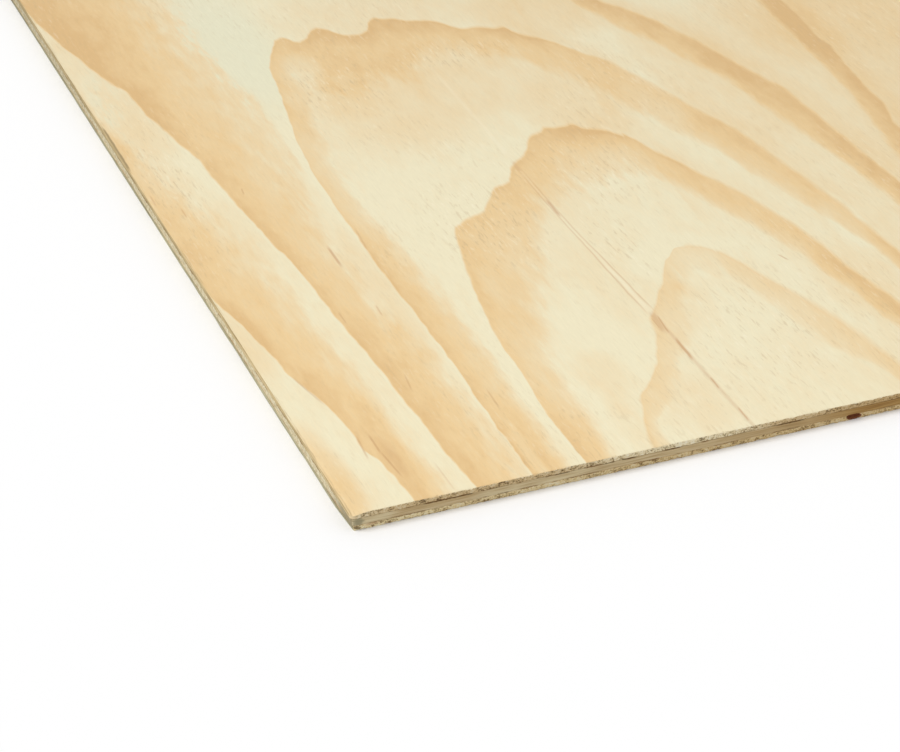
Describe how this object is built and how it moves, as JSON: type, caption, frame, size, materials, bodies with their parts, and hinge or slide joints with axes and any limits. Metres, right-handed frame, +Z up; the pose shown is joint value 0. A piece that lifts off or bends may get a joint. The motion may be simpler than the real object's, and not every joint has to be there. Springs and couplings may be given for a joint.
{
  "type": "plywood sheet",
  "caption": "Flat rectangular plywood sheet: face and back veneers glued to a crossband core, with sawn edges, a worn corner and a knot in its front edge.",
  "frame": {"origin": "middle of the sheet's underside, on the surface it lies on", "axes": "+X across the sheet's width, +Y along its length and its face grain, away from the worn corner's end, +Z up out of the face"},
  "size_m": [1.22, 2.44, 0.009],
  "materials": {
    "face_wood": "sanded, unfinished",
    "core_wood": "sawn edge",
    "back_wood": "rough, unfinished"
  },
  "bodies": {
    "root": {"face_veneer": "face_wood", "core_veneer": "core_wood", "back_veneer": "back_wood"}
  },
  "joints": []
}
